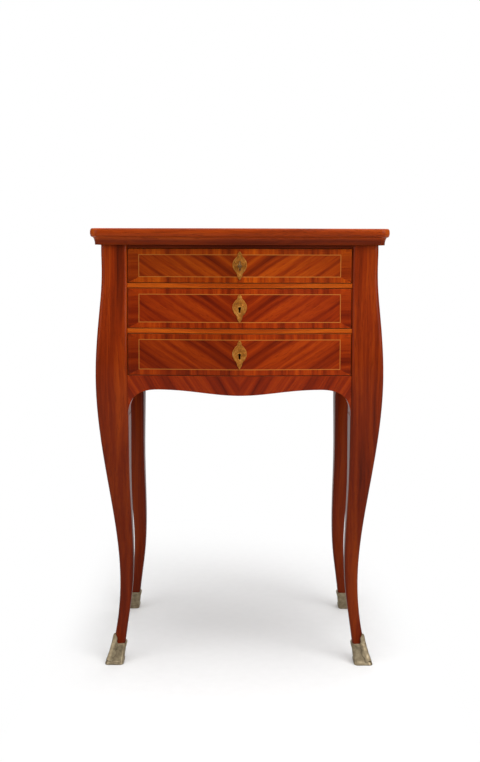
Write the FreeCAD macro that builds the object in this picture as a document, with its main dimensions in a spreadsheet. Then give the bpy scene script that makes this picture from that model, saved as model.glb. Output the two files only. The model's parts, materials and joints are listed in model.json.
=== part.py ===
import FreeCAD, Part
import Sketcher
import math
import os
from types import SimpleNamespace

from FreeCAD import Placement, Rotation, Vector

# A chiffonier table: three drawers between four curved legs, under a moulded top.
# The front faces -Y, +Z is up and the origin is on the floor under the middle of the table.
# Drawer 1 is the upper one. All sizes are in millimetres.

DRIVING = {
    # Overall size and the moulded top
    "total_height": 700,
    "top_width": 465,
    "top_depth": 346,
    "top_thickness": 25,
    "top_bow": 9,
    "top_side_bow": 2,
    "top_corner_round": 14,
    "top_overhang": 16,
    "moulding_width": 30,
    "bead_height": 13,
    "bead_inset": 2.5,
    "cove_inset": 7,
    # Legs, as offsets from the upright line of the posts
    "leg_width": 40,
    "leg_round": 5,
    "post_rebate": 0.5,
    "waist_drop": 58,
    "waist_swell": 0.3,
    "shoulder_drop": 115,
    "shoulder_swell": 5,
    "knee_drop": 208,
    "knee_swell": 10.2,
    "calf_inset": 6.4,
    "calf_inner_inset": 0.2,
    "ankle_height": 112,
    "ankle_inset": 20.6,
    "ankle_width": 19.4,
    "instep_height": 60,
    "instep_inset": 15.5,
    "instep_width": 17.5,
    "toe_inset": 1.2,
    "toe_width": 22,
    # Brass shoes on the feet
    "sabot_height": 32,
    "sabot_wall": 1.5,
    "sabot_flare": 1.6,
    "sabot_base": 5,
    "sabot_fit": 0.2,
    "sabot_pin_height": 21,
    "sabot_pin_length": 9,
    # Front of the case
    "drawer_1_height": 54,
    "drawer_2_height": 63,
    "drawer_3_height": 66,
    "top_rail_height": 5,
    "rail_height": 7,
    "rail_depth": 49,
    "apron_height": 22,
    "apron_drop": 8.8,
    "ear_height": 42,
    "ear_width": 48,
    "front_setback": 3,
    "front_bow": 9,
    "front_thickness": 20,
    # Sides and back of the case
    "side_setback": 3,
    "side_bow": 3,
    "side_thickness": 14,
    "side_ear_width": 40,
    "side_drop": 5,
    "back_setback": 8,
    "back_thickness": 16,
    "back_rail_height": 36,
    "back_panel_thickness": 6,
    # Joints in the wood
    "tenon_length": 14,
    "tenon_shoulder": 1.5,
    "tenon_width": 20,
    "tongue_thickness": 6,
    "tongue_length": 8,
    "groove_depth": 4,
    # Inside of the case
    "runner_width": 20,
    "guide_height": 12,
    "dust_thickness": 4,
    "stop_width": 30,
    "stop_depth": 12,
    "stop_height": 5,
    "stop_spacing": 150,
    "stop_gap": 0.3,
    "block_width": 16,
    "block_height": 20,
    "block_length": 30,
    "block_spacing": 75,
    # Drawers
    "drawer_gap": 1,
    "drawer_headroom": 4,
    "drawer_side_thickness": 9,
    "drawer_back_thickness": 8,
    "drawer_bottom_thickness": 5,
    "drawer_bottom_rise": 6,
    "drawer_rear_gap": 8,
    "dovetail_length": 12,
    "dovetail_spread": 2.5,
    # Locks and key
    "lock_width": 44,
    "lock_depth": 9,
    "lock_plate": 1.5,
    "lock_drop": 15.5,
    "bolt_width": 24,
    "bolt_thickness": 3.5,
    "bolt_play": 0.5,
    "bolt_throw": 5,
    "window_width": 14,
    "lock_screw_spacing": 35,
    "key_radius": 1.8,
    "key_bit_length": 6.5,
    "key_bit_thickness": 1.8,
    "key_collar_radius": 3,
    "key_collar_length": 3,
    "key_neck_length": 2.5,
    "key_bow_radius": 6.2,
    "key_bow_wire": 1.4,
    "keyhole_radius": 2.5,
    "keyhole_slot": 3.2,
    "keyhole_drop": 7.2,
    # Brass plates round the keyholes
    "plate_width": 22,
    "plate_height": 44,
    "plate_thickness": 1.8,
    "plate_fit": 0.1,
    "plate_pin_spacing": 35,
    # Pins and screws
    "pin_radius": 0.8,
    "pin_length": 7,
    "pin_proud": 0.6,
    "screw_radius": 1.7,
    "screw_head_radius": 3.2,
    "screw_head_height": 2,
    "screw_length": 32,
    "hole_clearance": 0.1,
}

doc = FreeCAD.newDocument("chiffonier_table")
dims = doc.addObject("Spreadsheet::Sheet", "dims")
for row, (alias, number) in enumerate(DRIVING.items(), start=1):
    dims.set(f"A{row}", alias)
    dims.set(f"B{row}", str(number))
    dims.setAlias(f"B{row}", alias)
doc.recompute()


class Size:
    """A length kept both as a formula in cells of the sheet and as its value."""

    def __init__(self, formula, value):
        self.formula = formula
        self.value = value

    @staticmethod
    def of(thing):
        if isinstance(thing, Size):
            return thing
        return Size(f"({float(thing):.6f})", float(thing))

    def joined(self, sign, other, value):
        return Size(f"({self.formula} {sign} {other.formula})", value)

    def __add__(self, other):
        other = Size.of(other)
        return self.joined("+", other, self.value + other.value)

    def __sub__(self, other):
        other = Size.of(other)
        return self.joined("-", other, self.value - other.value)

    def __mul__(self, other):
        other = Size.of(other)
        return self.joined("*", other, self.value * other.value)

    def __truediv__(self, other):
        other = Size.of(other)
        return self.joined("/", other, self.value / other.value)

    def __radd__(self, other):
        return Size.of(other) + self

    def __rsub__(self, other):
        return Size.of(other) - self

    def __rmul__(self, other):
        return Size.of(other) * self

    def __neg__(self):
        return Size.of(0) - self

    def __float__(self):
        return self.value


d = SimpleNamespace(**{alias: Size(f"dims.{alias}", float(dims.get(alias))) for alias in DRIVING})

# Levels and planes worked out from the driving sizes
case_top = d.total_height - d.top_thickness
half_width = d.top_width / 2 - d.top_side_bow - d.top_overhang
half_depth = d.top_depth / 2 - d.top_bow - d.top_overhang
inner_x = half_width - d.leg_width
inner_y = half_depth - d.leg_width
front_plane = half_depth - d.front_setback
front_back = front_plane - d.front_thickness
rail_back = front_plane - d.rail_depth
side_plane = half_width - d.side_setback
side_back = side_plane - d.side_thickness
back_rear = half_depth - d.back_setback
back_front = back_rear - d.back_thickness

opening_tops = {1: case_top - d.top_rail_height}
opening_feet = {}
for number, height in ((1, d.drawer_1_height), (2, d.drawer_2_height), (3, d.drawer_3_height)):
    opening_feet[number] = opening_tops[number] - height
    opening_tops[number + 1] = opening_feet[number] - d.rail_height
apron_edge = opening_feet[3] - d.apron_height
apron_tip = apron_edge - d.apron_drop
ear_foot = apron_edge - d.ear_height

runner_inner = inner_x - d.runner_width
drawer_half = inner_x - d.drawer_gap
drawer_rear = back_front - d.drawer_rear_gap
drawer_rear_inner = drawer_rear - d.drawer_back_thickness
lock_front = front_back + d.lock_depth
bolt_back = front_back + d.lock_plate + d.bolt_play + 2
bolt_front = bolt_back + d.bolt_thickness
far = Size.of(400)

nodes = []


def node(label, piece):
    """Give a finished sub-part its label and keep it for export."""
    piece.Label = label
    nodes.append(piece)
    return piece


def board(name, x, y, z):
    """A block between the low and high ends given along X, Y and Z."""
    block = doc.addObject("Part::Box", name)
    for side, axis, (low, high) in zip(("Length", "Width", "Height"), "xyz", (x, y, z)):
        block.setExpression(side, Size.of(high - low).formula)
        block.setExpression(f"Placement.Base.{axis}", Size.of(low).formula)
    return block


def centred(half):
    """The two ends of a span centred on the middle plane."""
    return (-half, half)


def rod(name, radius, length, x, y, z, upright=False):
    """A round rod that runs from its base towards the front, or upwards."""
    piece = doc.addObject("Part::Cylinder", name)
    piece.setExpression("Radius", Size.of(radius).formula)
    piece.setExpression("Height", Size.of(length).formula)
    if not upright:
        piece.Placement = Placement(Vector(), Rotation(Vector(1, 0, 0), 90))
    for axis, place in zip("xyz", (x, y, z)):
        piece.setExpression(f"Placement.Base.{axis}", Size.of(place).formula)
    return piece


def fuse(name, pieces):
    joined = doc.addObject("Part::MultiFuse", name)
    joined.Shapes = pieces
    return joined


def group(name, pieces):
    """Several separate solids kept as one sub-part."""
    bundle = doc.addObject("Part::Compound", name)
    bundle.Links = pieces
    return bundle


def cut(name, base, tools):
    """The base with every tool taken out of it."""
    result = doc.addObject("Part::Cut", name)
    result.Base = base
    result.Tool = tools[0] if len(tools) == 1 else fuse(name + "_cutters", tools)
    return result


def common(name, first, second):
    result = doc.addObject("Part::Common", name)
    result.Base = first
    result.Tool = second
    return result


def mirrored(name, source, normal):
    """The source reflected in the plane through the origin with this normal."""
    twin = doc.addObject("Part::Mirroring", name)
    twin.Source = source
    twin.Normal = normal
    return twin


def shaped(name, shape):
    """A solid whose form is worked out in code from the sizes in the sheet."""
    piece = doc.addObject("Part::Feature", name)
    piece.Shape = shape
    return piece


ACROSS = Vector(1, 0, 0)
ALONG = Vector(0, 1, 0)
UP = Vector(0, 0, 1)


# Curves shared by the legs, the front and the sides

def smooth_line(stations, slopes):
    """A smooth function through (height, offset) stations with the two end slopes."""
    curve = Part.BSplineCurve()
    points = [Vector(float(height), float(offset), 0) for height, offset in stations]
    curve.interpolate(
        Points=points,
        Parameters=[point.x for point in points],
        InitialTangent=Vector(1, slopes[0], 0),
        FinalTangent=Vector(1, slopes[1], 0),
        Scale=False,
    )
    return lambda height: curve.value(min(max(height, points[0].x), points[-1].x)).y


knee_height = case_top - d.knee_drop
calf_height = (knee_height + d.ankle_height) / 2
outer_line = smooth_line(
    [
        (0, -d.toe_inset),
        (d.instep_height, -d.instep_inset),
        (d.ankle_height, -d.ankle_inset),
        (calf_height, -d.calf_inset),
        (knee_height, d.knee_swell),
        (case_top - d.shoulder_drop, d.shoulder_swell),
        (case_top - d.waist_drop, d.waist_swell),
        (case_top, 0),
    ],
    (-0.35, 0),
)
inner_line = smooth_line(
    [
        (0, d.leg_width - d.toe_inset - d.toe_width),
        (d.instep_height, d.leg_width - d.instep_inset - d.instep_width),
        (d.ankle_height, d.leg_width - d.ankle_inset - d.ankle_width),
        (calf_height, -d.calf_inner_inset),
        (ear_foot, -d.post_rebate),
    ],
    (-0.25, 0),
)


def spline_through(points, **ends):
    curve = Part.BSplineCurve()
    curve.interpolate(Points=points, **ends)
    return curve


def swelling_skin(half_span, bow, baseline, place):
    """A face bowed in plan over a half span and swelling with the legs in height."""
    steps = 12
    low = float(ear_foot) - 10
    high = float(case_top) + 5
    plan_points = []
    for step in range(steps + 1):
        reach = float(half_span) * (2 * step / steps - 1)
        rise = float(bow) * math.cos(math.pi * reach / (2 * float(half_span))) ** 2
        plan_points.append(place(reach, float(baseline) + rise, 0))
    level = place(2, 0, 0) - place(0, 0, 0)
    plan = spline_through(plan_points, InitialTangent=level, FinalTangent=level)
    profile_points = []
    for step in range(steps + 1):
        height = low + (high - low) * step / steps
        profile_points.append(place(0, outer_line(height), height) - place(0, 0, 0))
    profile = spline_through(profile_points)
    poles = [[a + b for b in profile.getPoles()] for a in plan.getPoles()]
    skin = Part.BSplineSurface()
    skin.buildFromPolesMultsKnots(
        poles,
        plan.getMultiplicities(),
        profile.getMultiplicities(),
        plan.getKnots(),
        profile.getKnots(),
        False,
        False,
        plan.Degree,
        profile.Degree,
    )
    return skin.toShape()


front_skin = swelling_skin(
    inner_x, d.front_bow, front_plane, lambda reach, out, height: Vector(reach, -out, height)
)
side_skin = swelling_skin(
    inner_y, d.side_bow, side_plane, lambda reach, out, height: Vector(out, reach, height)
)
front_stock = shaped("front_stock", front_skin.extrude(ALONG * float(d.rail_depth + d.front_bow + 30)))
side_stock = shaped("side_stock", side_skin.extrude(-ACROSS * float(d.side_thickness + d.side_bow + 30)))


def front_reach(height):
    """How far the middle of the drawer fronts stands forward at a height."""
    return front_plane + d.front_bow + outer_line(float(height))


# Rails and drawer joints shared by the pieces that meet in them

def both_ends(name, low, high, y, z):
    """A block at the right end of a piece and its twin at the left end."""
    return [board(name + "_right", (low, high), y, z), board(name + "_left", (-high, -low), y, z)]


def tenon_span(foot, top):
    return (foot + d.tenon_shoulder, top - d.tenon_shoulder)


tenon_y = (-(front_back + d.tenon_width / 2), -(front_back - d.tenon_width / 2))
tenon_x = (inner_x, inner_x + d.tenon_length)
rail_levels = {
    "front_top_rail": (opening_tops[1], case_top),
    "drawer_rail_upper": (opening_tops[2], opening_feet[1]),
    "drawer_rail_lower": (opening_tops[3], opening_feet[2]),
}
front_tenons = []
rail_tenons = {}
for name, level in rail_levels.items():
    rail_tenons[name] = both_ends(name + "_tenon", *tenon_x, tenon_y, tenon_span(*level))
    front_tenons.append(rail_tenons[name][0])
apron_tenons = both_ends(
    "front_apron_tenon",
    *tenon_x,
    (-(front_back + d.front_thickness * 0.7), -(front_back + d.front_thickness * 0.3)),
    (apron_edge - d.ear_height / 2, opening_feet[3] - 2 * d.tenon_shoulder),
)
front_tenons.append(apron_tenons[0])

back_tenon_y = (back_front + d.back_thickness * 0.25, back_rear - d.back_thickness * 0.25)
back_levels = {
    "back_top_rail": (case_top - d.back_rail_height, case_top),
    "back_bottom_rail": (apron_edge, apron_edge + d.back_rail_height),
}
back_tenons = {}
for name, (foot, top) in back_levels.items():
    shoulder = 3 * d.tenon_shoulder
    back_tenons[name] = both_ends(
        name + "_tenon", *tenon_x, back_tenon_y, (foot + shoulder, top - shoulder)
    )
back_panel_y = (
    (back_front + back_rear - d.back_panel_thickness) / 2,
    (back_front + back_rear + d.back_panel_thickness) / 2,
)
back_panel = node(
    "back_panel",
    board(
        "back_panel",
        centred(inner_x + d.groove_depth),
        back_panel_y,
        (apron_edge + d.back_rail_height - d.groove_depth, case_top - d.back_rail_height + d.groove_depth),
    ),
)
side_tongue_x = (side_back + 3, side_back + 3 + d.tongue_thickness)
side_tongue_z = (apron_edge - d.ear_height / 2, case_top)
side_tongues = [
    board("side_tongue_front", side_tongue_x, (-(inner_y + d.tongue_length), -inner_y), side_tongue_z),
    board("side_tongue_back", side_tongue_x, (inner_y, inner_y + d.tongue_length), side_tongue_z),
]

# Legs and their brass shoes

def rounded_outline(x, y, radius, height):
    """A flat rounded rectangle at a height, as a closed wire."""
    centres = [
        (x[1] - radius, y[0] + radius, 270),
        (x[1] - radius, y[1] - radius, 0),
        (x[0] + radius, y[1] - radius, 90),
        (x[0] + radius, y[0] + radius, 180),
    ]
    arcs = []
    for across, along, start in centres:
        circle = Part.Circle(Vector(across, along, height), UP, radius)
        arcs.append(Part.Arc(circle, math.radians(start), math.radians(start + 90)).toShape())
    edges = []
    for arc, following in zip(arcs, arcs[1:] + arcs[:1]):
        edges.append(arc)
        edges.append(Part.makeLine(arc.Vertexes[-1].Point, following.Vertexes[0].Point))
    return Part.Wire(edges)


def leg_section(height, grow):
    """The outline of the front right leg at a height, grown by an amount all round."""
    outer = outer_line(height) + grow
    inner = inner_line(height) - grow
    x = (float(inner_x) + inner, float(half_width) + outer)
    y = (-float(half_depth) - outer, -float(inner_y) - inner)
    return rounded_outline(x, y, float(d.leg_round), height)


def even_levels(low, high, steps):
    """Heights from one level to another in equal steps."""
    return [float(low) + float(high - low) * step / steps for step in range(steps + 1)]


def leg_solid(levels, grow):
    """A loft up the front right leg through its outlines at a list of heights."""
    return Part.makeLoft([leg_section(height, grow(height)) for height in levels], True, False)


foot_levels = even_levels(d.sabot_base, d.sabot_height + 4, 5)
upper_levels = even_levels(d.sabot_height + 4, case_top, 20)
leg_blank = shaped("leg_blank", leg_solid(foot_levels + upper_levels[1:], lambda height: 0))
post_flats = [
    board("post_flat_x", (inner_x - d.leg_width, inner_x), (-far, far), (ear_foot, case_top + 1)),
    board("post_flat_y", (-far, far), (-inner_y, -(inner_y - d.leg_width)), (ear_foot, case_top + 1)),
]
leg_post = cut("leg_post", leg_blank, post_flats)


def shoe_growth(height):
    """The shoe's outer face stands off the leg by its wall and flares at the floor."""
    fall = 1 - height / float(d.sabot_height)
    return float(d.sabot_fit + d.sabot_wall) + float(d.sabot_flare) * fall ** 2


shoe_levels = even_levels(Size.of(0), d.sabot_height, 6)
shoe_blank = shaped("shoe_blank", leg_solid(shoe_levels, shoe_growth))
shoe_hollow = shaped("shoe_hollow", leg_solid(foot_levels, lambda height: float(d.sabot_fit)))
pin_level = float(d.sabot_pin_height)
shoe_face = half_depth + outer_line(pin_level)
shoe_pin_x = (inner_x + inner_line(pin_level) + half_width + outer_line(pin_level)) / 2


def shoe_pin(name, clearance):
    """The pin that holds a shoe, driven in from the front, or the hole for it."""
    start = -(shoe_face - d.sabot_pin_length + d.sabot_wall)
    length = d.sabot_pin_length + shoe_growth(pin_level) - d.sabot_wall + d.pin_proud
    return rod(name, d.pin_radius + clearance, length, shoe_pin_x, start, d.sabot_pin_height)


shoe_pin_hole = shoe_pin("shoe_pin_hole", d.hole_clearance)
shoe = cut("shoe", shoe_blank, [shoe_hollow, shoe_pin_hole])
front_leg = cut("front_leg", leg_post, front_tenons + [side_tongues[0], shoe_pin_hole])
back_leg_blank = mirrored("back_leg_blank", leg_post, ALONG)
back_pin_hole = mirrored("back_pin_hole", shoe_pin_hole, ALONG)
back_leg = cut(
    "back_leg",
    back_leg_blank,
    [back_tenons[name][0] for name in back_levels] + [back_panel, side_tongues[1], back_pin_hole],
)
front_pin = shoe_pin("front_pin", 0)
back_pin = mirrored("back_pin", front_pin, ALONG)
back_shoe = mirrored("back_shoe", shoe, ALONG)
node("leg_front_right", front_leg)
node("leg_front_left", mirrored("leg_front_left", front_leg, ACROSS))
node("leg_back_right", back_leg)
node("leg_back_left", mirrored("leg_back_left", back_leg, ACROSS))
node("sabot_front_right", shoe)
node("sabot_front_left", mirrored("sabot_front_left", shoe, ACROSS))
node("sabot_back_right", back_shoe)
node("sabot_back_left", mirrored("sabot_back_left", back_shoe, ACROSS))
left_pins = [mirrored(f"{pin.Name}_left", pin, ACROSS) for pin in (front_pin, back_pin)]
node("sabot_pins", group("sabot_pins", [front_pin, back_pin] + left_pins))

# Drawer rails and the dust boards that run in them

dust_boards = {}
dust_x = centred(runner_inner + d.groove_depth)
dust_y = (-(rail_back + d.groove_depth), back_front)
for number, foot in opening_feet.items():
    middle = foot - d.rail_height / 2
    dust_boards[number] = node(
        f"dust_board_{number}",
        board(
            f"dust_board_{number}",
            dust_x,
            dust_y,
            (middle - d.dust_thickness / 2, middle + d.dust_thickness / 2),
        ),
    )

bolt_slots = {}
for number in opening_feet:
    bolt_slots[number] = board(
        f"bolt_slot_{number}",
        centred(d.bolt_width / 2 + d.bolt_play),
        (-(bolt_front + d.bolt_play), -(bolt_back - d.bolt_play)),
        (opening_tops[number] - 1, opening_tops[number] + d.rail_height + 1),
    )

rail_span = (-far, -rail_back)
for number, (name, (foot, top)) in enumerate(rail_levels.items(), start=1):
    body = common(name + "_body", front_stock, board(name + "_span", centred(inner_x), rail_span, (foot, top)))
    whole = fuse(name + "_whole", [body] + rail_tenons[name])
    openings = [bolt_slots[number]]
    if number > 1:
        openings.append(dust_boards[number - 1])
    node(name, cut(name, whole, openings))
bottom_rail = board(
    "bottom_rail_block",
    centred(inner_x),
    (-front_back, -rail_back),
    (opening_feet[3] - d.rail_height, opening_feet[3]),
)
node("drawer_rail_bottom", cut("drawer_rail_bottom", bottom_rail, [dust_boards[3]]))

# Apron and sides with their shaped lower edges

def arched_outline(half_span, ear, drop, top, place):
    """A panel's outline: straight top and ends, an arched lower edge with a middle drop."""
    edge = float(apron_edge)
    corner = float(half_span)
    shoulder = corner - float(ear)
    foot = float(ear_foot)
    arch = Part.BSplineCurve()
    arch.interpolate(
        Points=[
            place(corner, foot),
            place(shoulder, edge),
            place(0, edge - float(drop)),
            place(-shoulder, edge),
            place(-corner, foot),
        ],
        Tangents=[place(0, 1), place(-1, 0), place(-1, 0), place(-1, 0), place(0, -1)],
        TangentFlags=[True] * 5,
    )
    rim = Part.makePolygon(
        [place(-corner, foot), place(-corner, top), place(corner, top), place(corner, foot)]
    )
    return Part.Face(Part.Wire([arch.toShape()] + rim.Edges))


apron_face = arched_outline(
    inner_x, d.ear_width, d.apron_drop, float(opening_feet[3]), lambda across, up: Vector(across, 0, up)
)
apron_prism = shaped("apron_prism", apron_face.extrude(-ALONG * 400))
apron_prism.Placement.Base = Vector(0, -float(front_back), 0)
apron_body = common("apron_body", front_stock, apron_prism)
node("front_apron", fuse("front_apron", [apron_body] + apron_tenons))

side_face = arched_outline(
    inner_y, d.side_ear_width, d.side_drop, float(case_top), lambda along, up: Vector(0, along, up)
)
side_prism = shaped("side_prism", side_face.extrude(ACROSS * 400))
side_prism.Placement.Base = Vector(float(side_back), 0, 0)
side_body = common("side_body", side_stock, side_prism)
side_right = node("side_right", fuse("side_right", [side_body] + side_tongues))
node("side_left", mirrored("side_left", side_right, ACROSS))

# Back rails round the back panel

for name, (foot, top) in back_levels.items():
    block = board(name + "_block", centred(inner_x), (back_front, back_rear), (foot, top))
    whole = fuse(name + "_whole", [block] + back_tenons[name])
    node(name, cut(name, whole, [back_panel]))

# Runners with their guides, drawer stops and the blocks under the top

def runner_body(number, foot):
    """An L-shaped length of wood: the runner below and the drawer's guide on its outer edge."""
    body = doc.addObject("PartDesign::Body", f"runner_{number}")
    sketch = body.newObject("Sketcher::SketchObject", f"runner_{number}_outline")
    sketch.AttachmentSupport = [(body.Origin.OriginFeatures[4], "")]
    sketch.MapMode = "FlatFace"
    lower = foot - d.rail_height
    guide_top = foot + d.guide_height
    corners = [
        (runner_inner, lower),
        (side_back, lower),
        (side_back, guide_top),
        (inner_x, guide_top),
        (inner_x, foot),
        (runner_inner, foot),
    ]
    points = [Vector(float(across), float(up), 0) for across, up in corners]
    for start, end in zip(points, points[1:] + points[:1]):
        sketch.addGeometry(Part.LineSegment(start, end))
    for index, (across, up) in enumerate(corners):
        sketch.addConstraint(
            Sketcher.Constraint("Coincident", index, 1, (index - 1) % len(corners), 2)
        )
        for kind, place in (("DistanceX", across), ("DistanceY", up)):
            row = sketch.addConstraint(
                Sketcher.Constraint(kind, -1, 1, index, 1, float(place))
            )
            sketch.setExpression(f"Constraints[{row}]", place.formula)
    pad = body.newObject("PartDesign::Pad", f"runner_{number}_length")
    pad.Profile = sketch
    pad.setExpression("Length", (inner_y + rail_back).formula)
    body.setExpression("Placement.Base.y", inner_y.formula)
    return body


for number, foot in opening_feet.items():
    right = cut(f"runner_{number}_right", runner_body(number, foot), [dust_boards[number]])
    left = mirrored(f"runner_{number}_left", right, ACROSS)
    node(f"runners_{number}", group(f"runners_{number}", [right, left]))

stops = []
stop_y = (-(front_back - d.stop_gap), -(front_back - d.stop_gap - d.stop_depth))
for number, foot in opening_feet.items():
    middle = d.stop_spacing / 2
    stops += both_ends(
        f"stop_{number}",
        middle - d.stop_width / 2,
        middle + d.stop_width / 2,
        stop_y,
        (foot, foot + d.stop_height),
    )
node("drawer_stops", group("drawer_stops", stops))

blocks = []
screws = []
screw_holes = []
block_x = side_back - d.block_width / 2
for side in (-1, 1):
    for step in (-1, 0, 1):
        name = f"{len(blocks)}"
        middle = d.block_spacing * step
        block = board(
            "block_blank_" + name,
            (block_x * side - d.block_width / 2, block_x * side + d.block_width / 2),
            (middle - d.block_length / 2, middle + d.block_length / 2),
            (case_top - d.block_height, case_top),
        )
        spot = (block_x * side, middle, case_top - d.block_height)
        head = rod("screw_head_" + name, d.screw_head_radius, d.screw_head_height, *spot, upright=True)
        shank = rod("screw_shank_" + name, d.screw_radius, d.screw_length, *spot, upright=True)
        screws.append(fuse("screw_" + name, [head, shank]))
        head_hole = rod(
            "head_hole_" + name,
            d.screw_head_radius + d.hole_clearance,
            d.screw_head_height,
            *spot,
            upright=True,
        )
        shank_hole = rod(
            "shank_hole_" + name, d.screw_radius + d.hole_clearance, d.screw_length, *spot, upright=True
        )
        screw_holes.append(shank_hole)
        blocks.append(cut("block_" + name, block, [head_hole, shank_hole]))
node("glue_blocks", group("glue_blocks", blocks))
node("top_screws", group("top_screws", screws))

# The moulded top: a flat board framed by four mitred lengths of moulding

corner_x = d.top_width / 2 - d.top_side_bow
corner_y = d.top_depth / 2 - d.top_bow


def top_outline(inset, height):
    """The top's plan, bowed at the front and a little at the sides, drawn in by an inset."""
    x = float(corner_x) - inset
    front = -(float(corner_y) - inset)
    back = float(d.top_depth) / 2 - inset
    radius = float(d.top_corner_round) - inset / 2
    steps = 8
    front_points = []
    right_points = []
    for step in range(steps + 1):
        share = 2 * step / steps - 1
        rise = math.cos(math.pi * share / 2) ** 2
        front_points.append(
            Vector(share * (x - radius), front - float(d.top_bow) * rise, height)
        )
        side_y = (front + back) / 2 + share * ((back - front) / 2 - radius)
        right_points.append(Vector(x + float(d.top_side_bow) * rise, side_y, height))
    left_points = [Vector(-point.x, point.y, height) for point in reversed(right_points)]
    front_edge = spline_through(front_points, InitialTangent=ACROSS, FinalTangent=ACROSS)
    right_edge = spline_through(right_points, InitialTangent=ALONG, FinalTangent=ALONG)
    left_edge = spline_through(left_points, InitialTangent=-ALONG, FinalTangent=-ALONG)

    def corner(centre_x, centre_y, start):
        circle = Part.Circle(Vector(centre_x, centre_y, height), UP, radius)
        return Part.Arc(circle, math.radians(start), math.radians(start + 90)).toShape()

    back_edge = Part.makeLine(Vector(x - radius, back, height), Vector(radius - x, back, height))
    return Part.Wire(
        [
            front_edge.toShape(),
            corner(x - radius, front + radius, 270),
            right_edge.toShape(),
            corner(x - radius, back - radius, 0),
            back_edge,
            corner(radius - x, back - radius, 90),
            left_edge.toShape(),
            corner(radius - x, front + radius, 180),
        ]
    )


def moulding(levels):
    """A loft through the top's plan at (depth below the top, inset) levels."""
    wires = [top_outline(inset, float(d.total_height) - depth) for depth, inset in levels]
    return Part.makeLoft(wires, True, False)


bead = float(d.bead_height)
quirk = float(d.bead_inset)
cove_depth = float(d.top_thickness) - bead
cove_run = float(d.cove_inset) - quirk
bead_levels = []
for step in range(7):
    turn = math.pi * step / 6
    bead_levels.append((bead * (1 - math.cos(turn)) / 2, quirk * (1 - math.sin(turn))))
cove_levels = []
for step in range(5):
    turn = math.pi / 2 * step / 4
    cove_levels.append(
        (bead + cove_depth * (1 - math.cos(turn)), quirk + cove_run * math.sin(turn))
    )
top_blank = shaped("top_blank", moulding(bead_levels).fuse(moulding(cove_levels)))
board_x = corner_x - d.moulding_width
board_front = corner_y - d.moulding_width
board_back = d.top_depth / 2 - d.moulding_width
board_blank = board(
    "top_board_blank", centred(board_x), (-board_front, board_back), (case_top, d.total_height)
)
node("top_board", cut("top_board", board_blank, screw_holes))
top_rim = cut("top_rim", top_blank, [board_blank])


def mitre_prism(name, corners):
    """An upright prism through the whole top over a plan of straight lines."""
    points = [Vector(float(x), float(y), float(case_top) - 5) for x, y in corners]
    face = Part.Face(Part.makePolygon(points + points[:1]))
    return shaped(name, face.extrude(UP * (float(d.top_thickness) + 10)))


reach = 3 * d.moulding_width
inner_corners = [
    (-board_x, -board_front),
    (board_x, -board_front),
    (board_x, board_back),
    (-board_x, board_back),
]
outer_corners = [
    (-(board_x + reach), -(board_front + reach)),
    (board_x + reach, -(board_front + reach)),
    (board_x + reach, board_back + reach),
    (-(board_x + reach), board_back + reach),
]
lengths = []
for index, place in enumerate(("front", "right", "back", "left")):
    other = (index + 1) % 4
    plan = [outer_corners[index], outer_corners[other], inner_corners[other], inner_corners[index]]
    lengths.append(common(f"moulding_{place}", top_rim, mitre_prism(f"mitre_{place}", plan)))
node("top_moulding", group("top_moulding", lengths))

# Drawers with their dovetails, locks and brass plates

def tail(name, x, root, tip, middle, half_root):
    """One dovetail: a wedge that widens from its root to its tip along Y."""
    half_tip = half_root + d.dovetail_spread
    wedge = doc.addObject("Part::Wedge", name)
    forward = tip.value < root.value
    near, far_end = (tip, root) if forward else (root, tip)
    near_half, far_half = (half_tip, half_root) if forward else (half_root, half_tip)
    settings = {
        "Xmin": x[0],
        "Xmax": x[1],
        "X2min": x[0],
        "X2max": x[1],
        "Ymin": near,
        "Ymax": far_end,
        "Zmin": middle - near_half,
        "Zmax": middle + near_half,
        "Z2min": middle - far_half,
        "Z2max": middle + far_half,
    }
    for name, place in settings.items():
        wedge.setExpression(name, place.formula)
    return wedge


def plate_face(middle):
    """The outline of a keyhole plate: a waisted shield with pointed ends, as a face."""
    wide = float(d.plate_width) / 2
    tall = float(d.plate_height) / 2
    half = [
        (0, 1),
        (0.24, 0.86),
        (0.3, 0.7),
        (0.66, 0.5),
        (1, 0.1),
        (0.76, -0.3),
        (0.4, -0.54),
        (0.3, -0.74),
        (0, -1),
    ]
    right = [Vector(wide * x, 0, middle + tall * z) for x, z in half]
    left = [Vector(-point.x, 0, point.z) for point in reversed(right)]
    edges = [spline_through(right).toShape(), spline_through(left).toShape()]
    return Part.Face(Part.Wire(edges))


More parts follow.
